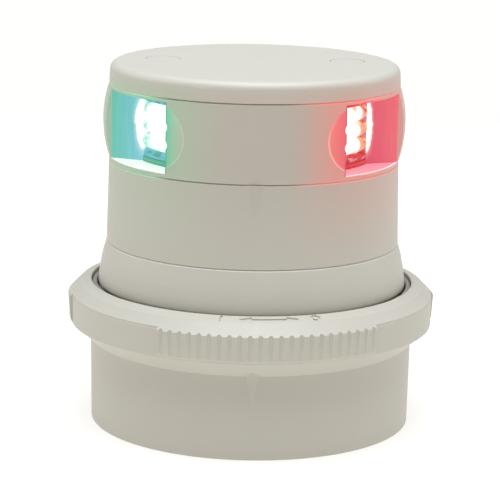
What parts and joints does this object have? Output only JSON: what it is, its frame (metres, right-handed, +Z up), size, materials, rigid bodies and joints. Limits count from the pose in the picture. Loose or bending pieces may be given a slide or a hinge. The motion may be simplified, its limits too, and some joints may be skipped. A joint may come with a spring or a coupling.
{
  "type": "navigation light",
  "caption": "Quick-release LED boat navigation light: screw-down base, twist locking ring and lift-off head with port, starboard and stern light windows.",
  "frame": {"origin": "centre of the base's screw pattern, on the mounting face", "axes": "+Z up along the light's axis, -Y towards the bow, +X to port (red side), -X to starboard (green side)"},
  "size_m": [0.09, 0.0894, 0.0883],
  "materials": {
    "white_plastic": "fine moulded satin, off-white, UV stable",
    "black_rubber": "soft moulded seal",
    "black_plastic": "moulded insulator",
    "grey_plastic": "moulded bayonet collar, mid grey",
    "steel": "stainless steel",
    "brass": "plated brass",
    "copper_wire": "tinned copper wire",
    "aluminium": "die-cast heat sink",
    "circuit_board": "green solder mask",
    "component": "epoxy and sleeved capacitors",
    "clear_cover": "clear polycarbonate window",
    "lens": "clear acrylic lens, three lobes",
    "red_holder": "red moulded lens holder",
    "green_holder": "green moulded lens holder",
    "grey_holder": "grey moulded lens holder",
    "red_led": "lit red emitter",
    "green_led": "lit green emitter",
    "white_led": "lit white emitter"
  },
  "bodies": {
    "base": {"base_cup": "white_plastic", "base_gasket": "black_rubber", "cable_grommet": "black_rubber", "base_collar": "grey_plastic", "collar_screws": "steel", "detent_spring": "steel", "contact_carrier": "black_plastic", "carrier_screws": "steel", "cable_terminals": "brass", "terminal_screws": "brass", "contact_spring_1": "steel", "contact_spring_2": "steel", "contact_spring_3": "steel"},
    "ring": {"locking_ring": "white_plastic"},
    "pin_1": {"contact_pin_1": "brass"},
    "pin_2": {"contact_pin_2": "brass"},
    "pin_3": {"contact_pin_3": "brass"},
    "head": {"band_seal": "black_rubber", "board_spacers": "steel", "cap_plugs": "white_plastic", "cap_seal": "black_rubber", "clamp_screws": "steel", "contact_disc": "circuit_board", "contact_rings": "brass", "driver_board": "circuit_board", "driver_parts": "component", "feed_wires": "copper_wire", "head_oring": "black_rubber", "head_skirt": "white_plastic", "heat_sink": "aluminium", "lens_band": "white_plastic", "mid_body": "white_plastic", "port_cover": "clear_cover", "port_holder": "red_holder", "port_led_board": "circuit_board", "port_leds": "red_led", "port_lens": "lens", "skirt_seal": "black_rubber", "starboard_cover": "clear_cover", "starboard_holder": "green_holder", "starboard_led_board": "circuit_board", "starboard_leds": "green_led", "starboard_lens": "lens", "stern_cover": "clear_cover", "stern_holder": "grey_holder", "stern_led_board": "circuit_board", "stern_leds": "white_led", "stern_lens": "lens", "top_cap": "white_plastic"}
  },
  "joints": [
    {"name": "ring_turn", "type": "hinge", "parent": "base", "child": "ring", "pos_m": [0, 0, 0.029], "axis": [0, 0, 1], "range_deg": [-40, 0]},
    {"name": "head_lift", "type": "slide", "parent": "base", "child": "head", "axis": [0, 0, 1], "range_m": [0, 0.04]},
    {"name": "pin_1_press", "type": "slide", "parent": "base", "child": "pin_1", "axis": [0, 0, 1], "range_m": [-0.0012, 0], "stiffness_N_per_m": 250, "deforming": ["contact_spring_1"]},
    {"name": "pin_2_press", "type": "slide", "parent": "base", "child": "pin_2", "axis": [0, 0, 1], "range_m": [-0.0012, 0], "stiffness_N_per_m": 250, "deforming": ["contact_spring_2"]},
    {"name": "pin_3_press", "type": "slide", "parent": "base", "child": "pin_3", "axis": [0, 0, 1], "range_m": [-0.0012, 0], "stiffness_N_per_m": 250, "deforming": ["contact_spring_3"]}
  ]
}
